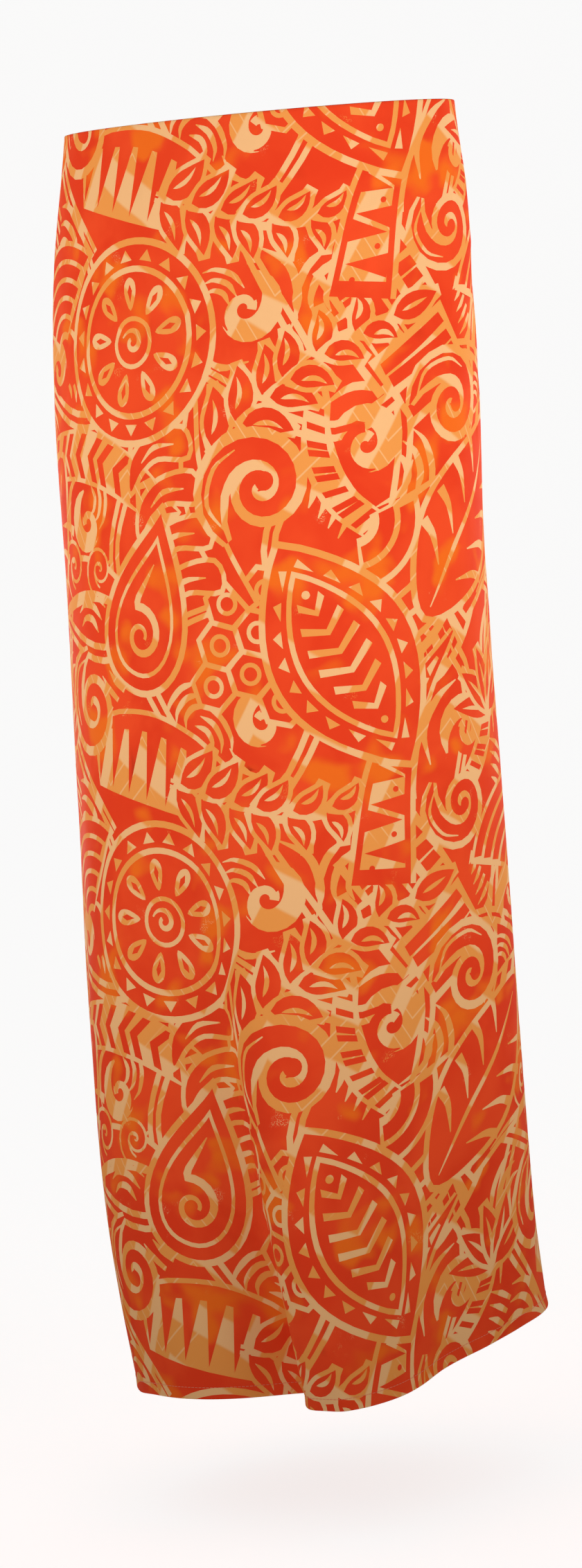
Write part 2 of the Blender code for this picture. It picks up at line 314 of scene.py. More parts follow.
class Wrap:
    """The whole wound surface, read from a fine table of rings."""

    def __init__(self):
        self.places = np.arange(0.0, CLOTH_WIDTH + TABLE_STEP, TABLE_STEP)
        rings = [Ring(share) for share in np.linspace(0.0, 1.0, TABLE_LEVELS + 1)]
        self.girths = np.array([ring.girth for ring in rings])
        self.points = np.array([ring.points(self.places) for ring in rings])
        down = np.gradient(self.points, axis=0)
        along = np.gradient(self.points, axis=1)
        outward = np.cross(along, down)
        self.outward = outward / np.linalg.norm(outward, axis=-1, keepdims=True)

    def read(self, table, places, heights):
        row = np.clip(1.0 - heights / WORN_LENGTH, 0.0, 1.0) * TABLE_LEVELS
        column = np.clip(places / TABLE_STEP, 0.0, len(self.places) - 1.001)
        top = np.minimum(row.astype(int), TABLE_LEVELS - 1)
        left = column.astype(int)
        down = (row - top)[:, None]
        across = (column - left)[:, None]
        upper = table[top, left] * (1 - across) + table[top, left + 1] * across
        lower = table[top + 1, left] * (1 - across) + table[top + 1, left + 1] * across
        return upper * (1 - down) + lower * down

    def relief(self, places, heights):
        """How far creases and the hem's waves stand out, the same on each layer of the cloth."""
        girth = np.interp(1.0 - heights / WORN_LENGTH, np.linspace(0.0, 1.0, TABLE_LEVELS + 1), self.girths)

        def away_from(place):
            return (places - place + girth / 2) % girth - girth / 2

        total = np.zeros(len(places))
        for crease in CREASES:
            part = (crease.height - heights) / (crease.height - crease.last_height)
            inside = np.clip(part, 0.0, 1.0)
            centre = crease.place + (crease.last_place - crease.place) * inside ** 0.9
            strength = np.sin(math.pi * inside ** 0.75) ** 1.5
            total += crease.relief * strength * np.exp(-((away_from(centre) / crease.reach) ** 2))
        near_hem = np.clip(1.0 - heights / HEM_WAVE_HEIGHT, 0.0, 1.0) ** 1.5
        for wave in HEM_WAVES:
            total += wave.relief * near_hem * np.exp(-((away_from(wave.place) / wave.reach) ** 2))
        below_stitches = np.clip(1.0 - heights / HEM_LEAN_HEIGHT, 0.0, 1.0)
        most = np.exp(-((away_from(HEM_LEAN_PLACE) / HEM_LEAN_REACH) ** 2))
        total += HEM_LEAN * below_stitches * (HEM_LEAN_LEAST + (1.0 - HEM_LEAN_LEAST) * most)
        return total * MM

    def at(self, places, heights, insets):
        """Points at places and heights on the cloth, moved in across it by insets."""
        places = np.asarray(places, float)
        heights = np.asarray(heights, float)
        outward = self.read(self.outward, places, heights)
        outward /= np.linalg.norm(outward, axis=1, keepdims=True)
        lift = self.relief(places, heights) - insets
        return self.read(self.points, places, heights) + outward * lift[:, None]


def folded_edge(past_fold, radius):
    """Height and inset beside a fold of the cloth, from the length past it, negative on the turned side."""
    quarter = radius * math.pi / 2
    angle = np.clip(past_fold / radius, -math.pi / 2, math.pi / 2)
    height = radius - radius * np.cos(angle) + np.maximum(np.abs(past_fold) - quarter, 0.0)
    inset = radius - radius * np.sin(angle)
    return height, inset


def wind(wrap, flat):
    """The flat cloth's points taken to the wound surface, with the hem and the waist edge folded in."""
    places, heights = flat.T
    up, hem_inset = folded_edge(heights, HEM_FOLD_RADIUS)
    down, waist_inset = folded_edge(WORN_LENGTH - heights, WAIST_FOLD_RADIUS)
    upper = heights > WORN_LENGTH / 2
    height = np.where(upper, WORN_LENGTH - down, up)
    inset = np.where(upper, waist_inset, hem_inset)
    return wrap.at(places, height, inset)


# The print: closed outlines in millimetres, each painted over the ones before it


REPEAT_WIDTH = 430.0
REPEAT_HEIGHT = 420.0
GAP = 4.6


def polar(radius, degrees):
    angle = math.radians(degrees)
    return np.array([radius * math.cos(angle), radius * math.sin(angle)])


def bow(radius, start, end, centre=(0.0, 0.0)):
    """Points on an arc, from a start to an end in degrees."""
    count = max(3, int(abs(math.radians(end - start)) * math.sqrt(radius) * 1.05) + 2)
    return np.array([polar(radius, angle) for angle in np.linspace(start, end, count)]) + centre


def disc(radius, centre=(0.0, 0.0)):
    return bow(radius, 0, 360, centre)[:-1]


def smooth(points, closed=False, steps=4):
    """A soft curve through given points."""
    points = np.asarray(points, float)
    if closed:
        padded = np.vstack([points[-1], points, points[:2]])
    else:
        padded = np.vstack([2 * points[0] - points[1], points, 2 * points[-1] - points[-2]])
    curve = []
    for before, here, there, after in zip(padded[:-3], padded[1:-2], padded[2:-1], padded[3:]):
        for part in np.arange(steps) / steps:
            straight = 2 * here + (there - before) * part
            bend = (2 * before - 5 * here + 4 * there - after) * part ** 2
            curve.append(0.5 * (straight + bend + (3 * here - before - 3 * there + after) * part ** 3))
    if not closed:
        curve.append(points[-1])
    return np.array(curve)


def sides_of(path):
    along = np.gradient(path, axis=0)
    along /= np.maximum(np.linalg.norm(along, axis=1, keepdims=True), 1e-9)
    return along, np.column_stack([along[:, 1], -along[:, 0]])


def shares_of(path):
    """How far along a path each of its points lies, from 0 to 1."""
    steps = np.linalg.norm(np.diff(path, axis=0), axis=1)
    shares = np.concatenate([[0.0], np.cumsum(steps)])
    return shares / shares[-1]


def ribbon(path, widths):
    """A band along a path, with widths spread evenly from its start to its end."""
    half = np.interp(shares_of(path), np.linspace(0, 1, len(widths)), widths)[:, None] / 2
    side = sides_of(path)[1]
    return np.vstack([path + side * half, (path - side * half)[::-1]])


def grow(loop, distance):
    """An outline moved outwards, or inwards by a negative distance."""
    loop = np.asarray(loop, float)
    x, y = loop.T
    if np.sum(x * np.roll(y, -1) - np.roll(x, -1) * y) < 0:
        loop = loop[::-1]
    before = loop - np.roll(loop, 1, 0)
    after = np.roll(loop, -1, 0) - loop
    before /= np.maximum(np.linalg.norm(before, axis=1, keepdims=True), 1e-9)
    after /= np.maximum(np.linalg.norm(after, axis=1, keepdims=True), 1e-9)
    middle = (before + after) @ np.array([[0.0, -1.0], [1.0, 0.0]])
    length = np.maximum(np.linalg.norm(middle, axis=1, keepdims=True), 1e-9)
    return loop + middle / length * distance / np.clip(length / 2, 0.6, 1.0)


def leaf(length, width, bend=0.0):
    """A pointed leaf from its foot at 0, 0 along x."""
    part = np.linspace(0, 1, 9)
    spine = np.column_stack([part * length, bend * np.sin(math.pi * part)])
    return ribbon(spine, list(width * np.sin(math.pi * np.linspace(0, 1, 9) ** 0.8) ** 0.9))


def almond(length, width, count=17):
    """Two bows that meet in points above and below."""
    part = np.linspace(-1, 1, count)
    right = np.column_stack([width / 2 * np.cos(part * math.pi / 2) ** 0.85, part * length / 2])
    return np.vstack([right, (right * (-1, 1))[-2:0:-1]])


def drop(length, width, count=40):
    """A round foot with a pointed tip above it."""
    angle = np.linspace(0, 2 * math.pi, count, endpoint=False) - math.pi / 2
    pull = (1 + np.sin(angle)) / 2
    x = width / 2 * np.cos(angle) * (1 - pull ** 2.2 * 0.98) ** 0.75
    return np.column_stack([x + 0.14 * width * pull ** 3, length * (pull ** 1.15 - 0.36)])


def coil(radius, turns, start, end_radius):
    """A path that winds inwards, anticlockwise."""
    part = np.linspace(0, 1, int(turns * 20) + 3)
    angle = math.radians(start) + part * turns * 2 * math.pi
    reach = radius * (end_radius / radius) ** part
    return np.column_stack([reach * np.cos(angle), reach * np.sin(angle)])


def turning(degrees, size=1.0, mirror=1):
    angle = math.radians(degrees)
    return size * np.array([[mirror * math.cos(angle), mirror * math.sin(angle)],
                            [-math.sin(angle), math.cos(angle)]])


class Stamp:
    """Draws outlines, in millimetres, from a place, turn and size of its own."""

    def __init__(self, shapes, place=(0.0, 0.0), matrix=turning(0), size=1.0):
        self.shapes = shapes
        self.place = np.asarray(place, float)
        self.matrix = matrix
        self.size = size

    def spread(self, points):
        return np.asarray(points, float) @ self.matrix + self.place

    def at(self, x, y, turn=0.0, size=1.0):
        """A stamp within this one."""
        place = self.spread([(x, y)])[0]
        return Stamp(self.shapes, place, turning(turn, size) @ self.matrix, self.size * size)

    def ink(self, points):
        self.shapes.append((self.spread(points), True))

    def bare(self, points):
        self.shapes.append((self.spread(points), False))

    def cut(self, points, widths):
        """A bare stroke along a soft curve."""
        self.bare(ribbon(smooth(points, steps=4), widths))

    def body(self, points, gap=GAP):
        """An inked shape with bare ground kept clear round it."""
        self.bare(grow(points, gap / self.size))
        self.ink(points)


def sun(s):
    """A disc with a toothed rim, a ring of petals and a coiled heart."""
    s.body(disc(70), 5)
    for k in range(19):
        a = k * 360 / 19
        s.bare([polar(59, a), polar(59, a + 11.5), polar(67, a + 5.8)])
    s.bare(disc(55))
    s.ink(disc(50.5))
    for k in range(9):
        a = k * 40 + 4
        petal = ((23, 0), (34, -9), (43, -7), (47, 0), (43, 7), (34, 9))
        s.bare(smooth([polar(radius, a + lean) for radius, lean in petal], True, 3))
        s.ink([polar(29, a), polar(37, a - 3.6), polar(42, a), polar(37, a + 3.6)])
    s.bare(disc(19))
    s.ink(disc(15.5))
    s.bare(ribbon(coil(11, 1.1, 20, 3), [1.5, 4, 4.5, 3]))


def spear_shield(s):
    """A pointed shield: a toothed edge round nested chevrons."""
    s.body(almond(200, 112, 19), 5)
    outer = grow(almond(200, 112, 19), -5.5)
    inner = grow(almond(164, 82, 19), 0)
    count = len(outer)
    teeth = 18
    for k in range(teeth):
        a = (k + 0.17) / teeth * count
        b = (k + 0.83) / teeth * count

        def on(place, share):
            low = int(place) % count
            part = place - int(place)
            o = outer[low] * (1 - part) + outer[(low + 1) % count] * part
            i = inner[low] * (1 - part) + inner[(low + 1) % count] * part
            return i * (1 - share) + o * share

        s.bare([on(a, 0.18), on(b, 0.18), on((a + b) / 2, 0.96)])
    s.bare(almond(158, 74, 19))
    s.ink(almond(146, 65, 17))
    for k in range(6):
        y = -44 + 17.5 * k
        half = 29 * math.cos((y + 4) / 73 * math.pi / 2) ** 0.85 - 5
        if half > 4:
            right = [(half, y + 5), (half - 2, y + 11)]
            left = [(2 - half, y + 11), (-half, y + 5)]
            s.bare([(0, y - 6)] + right + [(0, y - 0.5)] + left)
    s.bare(disc(3.4, (0, 57)))
    s.bare(disc(3.0, (0, -60)))


def hook(s):
    """A fern tip that winds in on itself."""
    path = coil(46, 1.5, -75, 7)
    s.bare(ribbon(path, [9, 27, 32, 32, 31, 29, 27, 24, 20]))
    s.ink(ribbon(path, [1.5, 14, 18, 17, 15, 13, 11.5, 10, 9]))
    s.ink(disc(7.0, path[-1] * 0.8))
    s.cut([(16, -37), (36, -24), (39, 2), (27, 20)], [1, 3.6, 3.6, 1])


def curls(s):
    """A wave crest that breaks into three curls."""
    back = smooth([(-84, -22), (-48, 8), (0, 20), (48, 12), (88, -14)], steps=5)
    s.body(ribbon(back, [3, 22, 30, 26, 6]))
    for x, y, size in ((-44, 20, 0.42), (2, 32, 0.52), (48, 24, 0.44)):
        c = s.at(x, y, 25, size)
        path = coil(44, 1.3, -95, 8)
        c.bare(ribbon(path, [26, 34, 34, 31, 27, 24]))
        c.ink(ribbon(path, [18, 23, 22, 19, 16, 13]))
    s.cut([(-62, -8), (-30, 4), (4, 8), (40, 4), (66, -6)], [1, 4.5, 5.5, 4.5, 1])


def drop_coil(s):
    """A drop with an inner line and a coil cut in it."""
    s.body(drop(158, 108, 44), 5)
    s.bare(drop(128, 84, 36))
    s.ink(drop(117, 76, 36))
    path = coil(27, 1.35, 60, 6) + (1, -10)
    tail = smooth([(7, 56), (12, 34), (15, 22), path[0]], steps=3)
    s.bare(ribbon(np.vstack([tail[:-1], path]), [1, 5, 7.5, 8, 7.5, 7, 6, 5, 3.5]))


def bows(s):
    """A stack of bows, one inside the other."""
    sweep = 104
    s.bare(np.vstack([bow(96 + GAP, -2, sweep + 2), bow(12, sweep, 0)]))
    for k in range(5):
        outer = 96 - 16.4 * k
        trim = 1.5 + 0.8 * k
        lean = 3 if k % 2 else -1
        inner = bow(outer - 11.8, sweep - trim - 2, trim + lean + 2)
        s.ink(np.vstack([bow(outer, trim + lean, sweep - trim), inner]))


def mats(s):
    """Panels of plaited bars that lie across each other."""
    for x, y, turn, bars in ((0, 0, 0, 5), (66, -30, 90, 4), (2, -62, 0, 4)):
        panel = s.at(x, y, turn)
        high = bars * 12.4 - 3
        panel.bare([(-5, -5), (60, -6), (61, high + 5), (-5, high + 6)])
        for k in range(bars):
            low = k * 12.4
            wave = 1.3 * math.sin(2.3 * k + turn)
            panel.ink([(0, low + wave), (28, low - 0.6), (56, low - wave), (55, low + 8.6 - wave),
                       (27, low + 9.2), (1, low + 8.8 + wave)])


def frond(s):
    """A sprig of leaves on both sides of a bent stem."""
    stem = smooth([(-86, -26), (-36, -16), (18, 0), (70, 30)], steps=6)
    s.bare(ribbon(stem, [8, 15, 15, 8]))
    s.ink(ribbon(stem, [1.5, 2.6, 2.4, 1.5]))
    for k in range(6):
        here = stem[int((k + 0.5) / 6.4 * (len(stem) - 1))]
        grown = 1.0 - 0.075 * k
        for side in (-1, 1):
            twig = s.at(here[0] + side, here[1] + side * 3, side * 50 + 14)
            twig.body(leaf(42 * grown, 21 * grown, side * -4), 3.4)
            twig.bare(leaf(25 * grown, 3.8, side * -3) + (8, 0))
    tip = s.at(stem[-1][0] - 3, stem[-1][1] - 2, 30)
    tip.body(leaf(38, 19), 3.4)
    tip.bare(leaf(22, 3.6) + (7, 0))


def spear_strip(s):
    """A long tapered strip of zigzag teeth and dots."""
    spine = smooth([(-8, 110), (9, 55), (9, -8), (-14, -88)], steps=7)
    s.bare(ribbon(spine, [8, 32, 46, 56]))
    s.ink(ribbon(spine, [1.5, 23, 37, 47]))
    s.bare(ribbon(spine[3:-1], [3, 15, 27, 36]))
    along, side = sides_of(spine)
    share = shares_of(spine)
    for k in range(10):
        place = int(round(5 + k * (len(spine) - 8) / 9))
        half = 0.5 * np.interp(share[place], [0, 0.33, 0.66, 1], [2, 15, 27, 37])
        span = 4.5 + 5.5 * share[place]
        sign = 1 if k % 2 else -1
        root = spine[place] + sign * side[place] * (half + 0.8)
        tip = spine[place] - sign * side[place] * half * 0.9
        s.ink([root - along[place] * span, root + along[place] * span, tip])
        if k > 2:
            s.ink(disc(2.3, spine[place] - sign * side[place] * half * 0.5 + along[place] * span * 1.25))


def chevrons(s):
    """A bowed band of nested chevrons."""
    spine = smooth([(-104, -20), (-52, 4), (4, 12), (58, 2), (106, -22)], steps=8)
    s.bare(ribbon(spine, [22, 38, 42, 38, 22]))
    along, side = sides_of(spine)
    count = 12
    for k in range(count):
        share = (k + 0.5) / count
        place = int(share * (len(spine) - 1))
        half = np.interp(share, [0, 0.25, 0.5, 0.75, 1], [8, 15.5, 17.5, 15.5, 8])
        here = spine[place]
        ahead = along[place]
        out = side[place] * half
        s.ink([here + ahead * 6, here + out - ahead * 4, here + out + ahead * 4,
               here + ahead * 14.5, here - out + ahead * 4, here - out - ahead * 4])


def fins(s):
    """Hooked blades stacked along a curved back."""
    back = smooth([(-34, 84), (-20, 34), (-22, -22), (-42, -80)], steps=6)
    s.body(ribbon(back, [3, 15, 18, 5]), 4)
    for k in range(4):
        y = 56 - 36 * k
        fin = [(-20, y + 12), (12, y + 15), (36, y + 2), (44, y - 20), (28, y - 8), (8, y - 2), (-20, y - 9)]
        s.body(smooth(fin, True, 4), 3.8)
        s.cut([(-10, y + 3), (10, y + 6), (26, y - 2)], [1, 4.8, 1])


def fangs(s):
    """A row of long fangs under a bowed bar."""
    rises = [14 * math.sin(math.pi * k / 6) for k in range(7)]
    teeth = [(-66 + 22 * k, rise, 42 + rise) for k, rise in enumerate(rises)]
    tips = [(x + 2.5 - x * 0.04, y - reach - 4) for x, y, reach in teeth]
    s.bare([(-80, 2), (-74, -26)] + tips + [(74, -26), (80, 2), (40, 16), (0, 22), (-40, 16)])
    bar = smooth([(-84, -4), (-42, 13), (0, 20), (42, 13), (84, -4)], steps=5)
    s.body(ribbon(bar, [2, 12, 14, 12, 2]), 3.8)
    for x, y, reach in teeth:
        s.ink([(x - 8.5, y + 2), (x + 8.5, y + 2), (x + 2.5 - x * 0.04, y - reach)])


def shell_net(s):
    """A patch of shell plates, each with a ring in it."""
    centres = [((column - 1) * 34, (row - 1) * 38 + (19 if column == 1 else 0)) for column in range(3)
               for row in range(3)]
    for centre in centres:
        plate = [polar(19.5, 60 * k + 3 * math.sin(5 * k + centre[1])) for k in range(6)]
        s.body(np.array(plate) + centre, 4)
    for centre in centres:
        s.bare(disc(10.5, centre))
        s.ink(disc(6.4, centre))


def split_leaf(s):
    """A broad leaf with curved slits from its edge."""
    edge = [(0, -92), (34, -58), (50, -12), (40, 38), (6, 92), (-30, 44), (-44, -8), (-30, -56)]
    s.body(smooth(edge, True, 5), 5)
    s.bare(ribbon(smooth([(0, -84), (5, -30), (2, 24), (5, 76)], steps=5), [1, 5, 5, 1]))
    for side in (-1, 1):
        for k in range(4):
            y = -46 + 29 * k
            slit = [(side * 46, y + 16), (side * 30, y + 10), (side * 12, y - 6)]
            s.cut(slit, [9, 5.5, 1])


def petals(s):
    """A small fan of five blades."""
    for k in range(5):
        a = s.at(0, 0, -60 + 30 * k)
        a.body(leaf(52, 17, 2), 3.6)
        a.bare(leaf(28, 3.2, 1) + (14, 0))


def ladder(s):
    """Short bars across a bent strip."""
    spine = smooth([(-70, 10), (-25, -6), (25, -2), (72, 20)], steps=6)
    s.bare(ribbon(spine, [30, 34, 34, 22]))
    along, side = sides_of(spine)
    share = shares_of(spine)
    for k in range(11):
        place = int((k + 0.5) / 11 * (len(spine) - 1))
        half = np.interp(share[place], [0, 1], [13, 8])
        here = spine[place]
        thick = along[place] * 3.4
        reach = side[place] * half + along[place] * 4
        s.ink([here + reach - thick, here + reach + thick, here - reach + thick, here - reach - thick])


def swirl(s):
    """A broad comma of bare ground round a curl, with two slips beside it."""
    path = coil(27, 1.25, -60, 6)
    s.bare(ribbon(path, [2, 11, 17, 18, 16, 13, 10, 7]))
    s.ink(ribbon(coil(19, 0.55, 150, 12), [1, 6, 8, 6]))
    s.cut([(24, -36), (40, -16), (39, 10), (28, 28)], [1, 6, 6.5, 1])
    s.cut([(-8, 37), (-30, 32), (-43, 14)], [1, 5.5, 1])


def slips(s):
    """Nested crescents of bare ground."""
    for k in range(3):
        half = 30 - 6 * k
        y = -12 * k
        s.cut([(-half, y - 7), (-half / 3, y + 4), (half / 2, y + 4), (half, y - 4)], [1, 6.5, 7, 5, 1])


def comb(s):
    """A row of slits that grow shorter."""
    for k in range(6):
        x = -32 + 12 * k
        s.bare(ribbon(smooth([(x, -16 + 2 * k), (x + 3, 0), (x + 9, 16 - 2 * k)], steps=3), [1, 6, 4.5]))


Motif = namedtuple("Motif", "draw x y turn size mirror")
LAYOUT = (
    Motif(swirl, 172, 338, 10, 0.95, 1),
    Motif(swirl, 124, 226, 200, 0.9, -1),
    Motif(swirl, 308, 268, 100, 1.0, 1),
    Motif(swirl, 232, 52, 30, 1.0, 1),
    Motif(swirl, 392, 78, 250, 0.85, -1),
    Motif(swirl, 398, 372, 160, 1.0, 1),
    Motif(slips, 145, 26, 30, 1.0, 1),
    Motif(slips, 352, 388, -70, 0.9, 1),
    Motif(slips, 196, 122, -60, 0.8, -1),
    Motif(slips, 128, 172, 6, 0.8, 1),
    Motif(comb, 92, 112, 150, 0.9, 1),
    Motif(comb, 342, 232, 40, 0.85, 1),
    Motif(comb, 190, 12, 100, 0.8, -1),
    Motif(comb, 122, 318, 12, 0.75, 1),
    Motif(comb, 224, 356, 64, 0.7, 1),
    Motif(slips, 262, 252, 74, 0.85, 1),
    Motif(slips, 30, 98, -44, 0.7, 1),
    Motif(slips, 101, 238, 104, 0.6, -1),
    Motif(slips, 414, 396, 18, 0.6, 1),
    Motif(slips, 190, 304, 22, 0.55, 1),
    Motif(slips, 424, 76, 64, 0.65, -1),
    Motif(ladder, 332, 250, 62, 0.72, 1),
    Motif(ladder, 218, 34, -48, 0.62, -1),
    Motif(ladder, 44, 174, 96, 0.6, 1),
    Motif(hook, 242, 0, 140, 0.74, -1),
    Motif(mats, 258, 372, -34, 1.05, 1),
    Motif(frond, 352, 322, 128, 1.0, 1),
    Motif(chevrons, 118, 262, 12, 0.95, 1),
    Motif(ladder, 250, 128, -52, 0.95, 1),
    Motif(bows, 318, 214, 160, 0.98, 1),
    Motif(fangs, 60, 60, 14, 0.9, 1),
    Motif(shell_net, 395, 128, 14, 0.8, 1),
    Motif(curls, 148, 166, -10, 0.95, 1),
    Motif(frond, 392, 20, 28, 0.95, -1),
    Motif(spear_strip, 292, 34, 24, 0.95, 1),
    Motif(bows, 156, 352, 300, 0.8, -1),
    Motif(fins, 20, 225, -14, 0.92, 1),
    Motif(petals, 195, 60, 70, 1.0, 1),
    Motif(hook, 385, 245, 20, 1.0, 1),
    Motif(hook, 132, 92, 190, 0.9, -1),
    Motif(hook, 236, 290, 80, 0.85, 1),
    Motif(drop_coil, 60, 150, 24, 0.82, 1),
    Motif(split_leaf, 216, 206, 38, 0.9, 1),
    Motif(sun, 64, 354, 0, 1.0, 1),
    Motif(spear_shield, 330, 120, -28, 0.92, 1),
)
VINES = (
    ((0, 20), (60, 110), (90, 200), (60, 300), (120, 420)),
    ((110, 0), (190, 90), (170, 190), (210, 280), (190, 420)),
    ((250, 0), (230, 90), (290, 170), (280, 290), (330, 420)),
    ((400, 0), (350, 90), (380, 200), (340, 300), (400, 420)),
    ((0, 160), (110, 130), (220, 160), (330, 110), (430, 160)),
    ((0, 330), (120, 300), (230, 330), (330, 280), (430, 330)),
)


def draw_print():
    """The repeat's outlines, painted in order on a fully inked ground."""
    shapes = []
    ground = Stamp(shapes)
    for vine in VINES:
        ground.bare(ribbon(smooth(vine, steps=8), [9, 15, 12, 15, 9]))
        ground.ink(ribbon(smooth(vine, steps=8), [1, 5, 2.5, 5, 1]))
    for motif in LAYOUT:
        matrix = turning(motif.turn, motif.size, motif.mirror)
        motif.draw(Stamp(shapes, (motif.x, motif.y), matrix, motif.size))
    return shapes


# The flat sheet, divided along the print's outlines


GRID_ACROSS = 60
GRID_DOWN = 28
FINE_STEP = 0.03
LONGEST_STEP = 12.0
BEND_KEPT = 0.15
WELD = 0.00006
FACE = "print_face"
REVERSE = "print_back"


def clip_to_repeat(loop):
    """The part of an outline that lies in the repeat's rectangle."""
    for axis, bound, keep_less in (
        (0, 0.0, False), (0, REPEAT_WIDTH, True), (1, 0.0, False), (1, REPEAT_HEIGHT, True)
    ):
        if len(loop) == 0:
            break
        inside = loop[:, axis] <= bound if keep_less else loop[:, axis] >= bound
        if inside.all():
            continue
        kept = []
        for here, there, in_here, in_there in zip(loop, np.roll(loop, -1, 0), inside, np.roll(inside, -1)):
            if in_here:
                kept.append(here)
            if in_here != in_there:
                part = (bound - here[axis]) / (there[axis] - here[axis])
                cut = here + (there - here) * part
                cut[axis] = bound
                kept.append(cut)
        loop = np.array(kept)
    return loop


def triangulate(points, edges):
    """Points and triangles that keep to the edges."""
    made = delaunay_2d_cdt([Vector(point) for point in points], edges, [], 0, FINE_STEP, False)
    return np.array([tuple(point) for point in made[0]]), made[2]


def winding(points, loop):
    """How often a closed outline goes round each point."""
    count = np.zeros(len(points), int)
    x, y = points.T
    for (x0, y0), (x1, y1) in zip(loop, np.roll(loop, -1, 0)):
        if y0 == y1:
            continue
        crossed = (y0 <= y) != (y1 <= y)
        right = x < x0 + (y - y0) * (x1 - x0) / (y1 - y0)
        count += np.where(crossed & right, 1 if y1 > y0 else -1, 0)
    return count


def inked_at(points, shapes):
    """Whether the print is inked at each point: the last outline round it decides."""
    ink = np.ones(len(points))
    for loop, inked in shapes:
        low, high = loop.min(axis=0), loop.max(axis=0)
        near = np.flatnonzero(((points > low) & (points < high)).all(axis=1))
        inside = near[winding(points[near], loop) != 0]
        ink[inside] = inked
    return ink


def simplified(points, edges):
    """The outlines without the points that hardly bend them. Points on the repeat's sides all stay."""
    beside = {}
    for start, end in edges:
        beside.setdefault(start, set()).add(end)
        beside.setdefault(end, set()).add(start)
    size = np.array([REPEAT_WIDTH, REPEAT_HEIGHT])
    on_side = ((np.abs(points) < FINE_STEP) | (np.abs(points - size) < FINE_STEP)).any(axis=1)
    for _ in range(3):
        settled = set()
        for here in sorted(beside):
            if on_side[here] or here in settled or len(beside[here]) != 2:
                continue
            start, end = sorted(beside[here])
            span = points[end] - points[start]
            length = float(np.hypot(*span))
            step = points[here] - points[start]
            if end in beside[start] or length > LONGEST_STEP or length < FINE_STEP:
                continue
            if abs(span[0] * step[1] - span[1] * step[0]) > BEND_KEPT * length:
                continue
            for near, far in ((start, end), (end, start)):
                beside[near].discard(here)
                beside[near].add(far)
            del beside[here]
            settled.update((start, end))
    return [(start, end) for start in sorted(beside) for end in sorted(beside[start]) if start < end]


def grid_points():
    across, down = np.meshgrid(np.linspace(0, REPEAT_WIDTH, GRID_ACROSS + 1),
                               np.linspace(0, REPEAT_HEIGHT, GRID_DOWN + 1))
    across[1::2, 1:-1] += REPEAT_WIDTH / GRID_ACROSS / 2
    return np.column_stack([across.ravel(), down.ravel()])


def divide_repeat():
    """One repeat as triangles, each all ink or all bare, with no edge that the finished print hides."""
    shapes = []
    for loop, ink in draw_print():
        for right in (-REPEAT_WIDTH, 0, REPEAT_WIDTH):
            for up in (-REPEAT_HEIGHT, 0, REPEAT_HEIGHT):
                part = clip_to_repeat(loop + (right, up))
                if len(part) > 2:
                    shapes.append((part, ink))
    sheet = np.array([(0, 0), (REPEAT_WIDTH, 0), (REPEAT_WIDTH, REPEAT_HEIGHT), (0, REPEAT_HEIGHT)], float)
    points = []
    edges = []
    for loop in [sheet] + [loop for loop, _ in shapes]:
        first = len(points)
        points.extend(loop)
        edges.extend((first + k, first + (k + 1) % len(loop)) for k in range(len(loop)))
    rough, triangles = triangulate(points, edges)
    ink = inked_at(rough[np.array(triangles)].mean(axis=1), shapes)
    sides = {}
    for triangle, inked in zip(triangles, ink):
        for start, end in zip(triangle, triangle[1:] + triangle[:1]):
            sides.setdefault((min(start, end), max(start, end)), []).append(inked)
    kept = [pair for pair, inks in sides.items() if len(inks) == 1 or inks[0] != inks[1]]
    kept = simplified(rough, kept)
    used = sorted({index for pair in kept for index in pair})
    renamed = {index: place for place, index in enumerate(used)}
    outlines = [(renamed[start], renamed[end]) for start, end in kept]
    fine, triangles = triangulate(np.vstack([rough[used], grid_points()]), outlines)
    triangles = np.array(triangles)
    return fine * MM, triangles, inked_at(fine[triangles].mean(axis=1), shapes)


def flat_sheet(repeat, left, right, bottom, top, cuts):
    """The printed cloth from left to right and bottom to top, cut along heights that are folded."""
    points, triangles, ink = repeat
    width = REPEAT_WIDTH * MM
    height = REPEAT_HEIGHT * MM
    mesh = bpy.data.meshes.new("flat")
    blocks = []
    for column in range(math.floor(left / width), math.ceil(right / width)):
        for row in range(math.floor(bottom / height), math.ceil(top / height)):
            blocks.append(points + (column * width, row * height))
    corners = np.vstack([triangles + k * len(points) for k in range(len(blocks))])
    mesh.from_pydata([(x, y, 0.0) for block in blocks for x, y in block], [], corners.tolist())
    inked = mesh.attributes.new("ink", "FLOAT", "FACE")
    inked.data.foreach_set("value", np.tile(ink, len(blocks)))
    shape = bmesh.new()
    shape.from_mesh(mesh)
    bmesh.ops.remove_doubles(shape, verts=shape.verts, dist=WELD)
    for point, normal in (((left, 0, 0), (-1, 0, 0)), ((right, 0, 0), (1, 0, 0)),
                          ((0, bottom, 0), (0, -1, 0)), ((0, top, 0), (0, 1, 0))):
        everything = shape.verts[:] + shape.edges[:] + shape.faces[:]
        bmesh.ops.bisect_plane(shape, geom=everything, plane_co=point, plane_no=normal, clear_outer=True)
    for level in cuts:
        near = [face for face in shape.faces
                if min(v.co.y for v in face.verts) < level < max(v.co.y for v in face.verts)]
        edges = {edge for face in near for edge in face.edges}
        corners = {vert for face in near for vert in face.verts}
        bmesh.ops.bisect_plane(shape, geom=near + list(edges) + list(corners), plane_co=(0, level, 0),
                               plane_no=(0, 1, 0))
    bmesh.ops.triangulate(shape, faces=shape.faces)
    bmesh.ops.reverse_faces(shape, faces=shape.faces)
    shape.to_mesh(mesh)
    shape.free()
    return mesh


